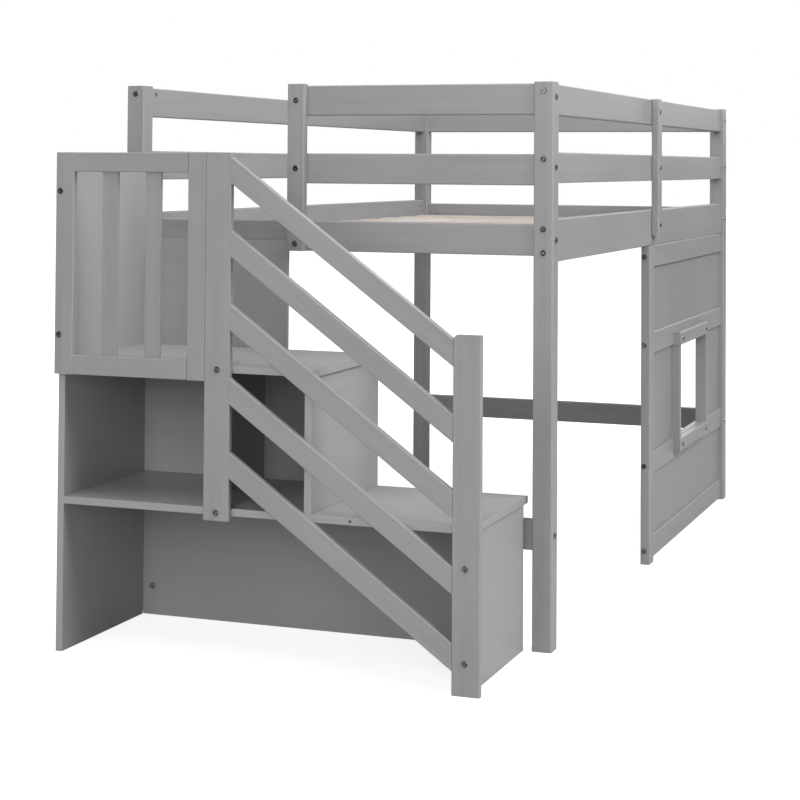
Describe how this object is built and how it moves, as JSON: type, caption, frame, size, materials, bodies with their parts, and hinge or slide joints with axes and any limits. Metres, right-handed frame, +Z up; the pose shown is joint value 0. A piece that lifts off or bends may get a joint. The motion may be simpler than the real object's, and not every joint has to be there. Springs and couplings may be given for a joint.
{
  "type": "twin low loft bed with storage staircase",
  "caption": "Low grey loft bed whose front staircase holds open cubbies, with guard rails all round, pine slats and a window panel under one side.",
  "frame": {"origin": "on the floor, under the centre of the bounding box", "axes": "+Z up; +Y along the bed from the stair end to the far end; +X across the bed, to the right seen from the stair end, towards the window panel"},
  "size_m": [1.093, 2.361, 1.252],
  "materials": {
    "grey_paint": "satin grey paint over solid pine and board, soft rounded edges",
    "natural_pine": "planed natural pine",
    "antique_brass": "antique brass plated, hexagon socket heads",
    "zinc_steel": "zinc plated"
  },
  "bodies": {
    "root": {"back_bed_board": "grey_paint", "back_mid_rail": "grey_paint", "back_stretcher": "grey_paint", "back_top_rail": "grey_paint", "barrel_nuts": "zinc_steel", "cam_locks": "zinc_steel", "entry_upright": "grey_paint", "front_bed_board": "grey_paint", "front_mid_rail": "grey_paint", "front_stretcher": "grey_paint", "front_top_rail": "grey_paint", "guard_bottom_rail": "grey_paint", "guard_slats": "grey_paint", "guard_stile_left": "grey_paint", "guard_stile_right": "grey_paint", "guard_support_left": "grey_paint", "guard_support_right": "grey_paint", "guard_top_rail": "grey_paint", "landing": "grey_paint", "left_bed_board": "grey_paint", "left_mid_rail": "grey_paint", "left_top_rail": "grey_paint", "long_bolts": "antique_brass", "newel_lower": "grey_paint", "newel_upper": "grey_paint", "post_back_left": "grey_paint", "post_back_right": "grey_paint", "post_front_left": "grey_paint", "post_front_right": "grey_paint", "right_bed_board": "grey_paint", "right_mid_rail": "grey_paint", "right_top_rail": "grey_paint", "shelf_and_lower_tread": "grey_paint", "short_bolts": "antique_brass", "slat_cleats": "natural_pine", "slats": "natural_pine", "stair_back_lower": "grey_paint", "stair_back_middle": "grey_paint", "stair_back_upper": "grey_paint", "stair_rail_1": "grey_paint", "stair_rail_2": "grey_paint", "stair_rail_3": "grey_paint", "stair_rail_4": "grey_paint", "stair_rail_5": "grey_paint", "stair_riser": "grey_paint", "stair_side_left": "grey_paint", "stair_side_right": "grey_paint", "storage_divider": "grey_paint", "window_bottom_rail": "grey_paint", "window_head_rail": "grey_paint", "window_head_trim": "grey_paint", "window_infill_bottom": "grey_paint", "window_infill_far": "grey_paint", "window_infill_near": "grey_paint", "window_infill_top": "grey_paint", "window_jambs": "grey_paint", "window_leg": "grey_paint", "window_sill_rail": "grey_paint", "window_sill_trim": "grey_paint", "window_top_rail": "grey_paint"}
  },
  "joints": []
}
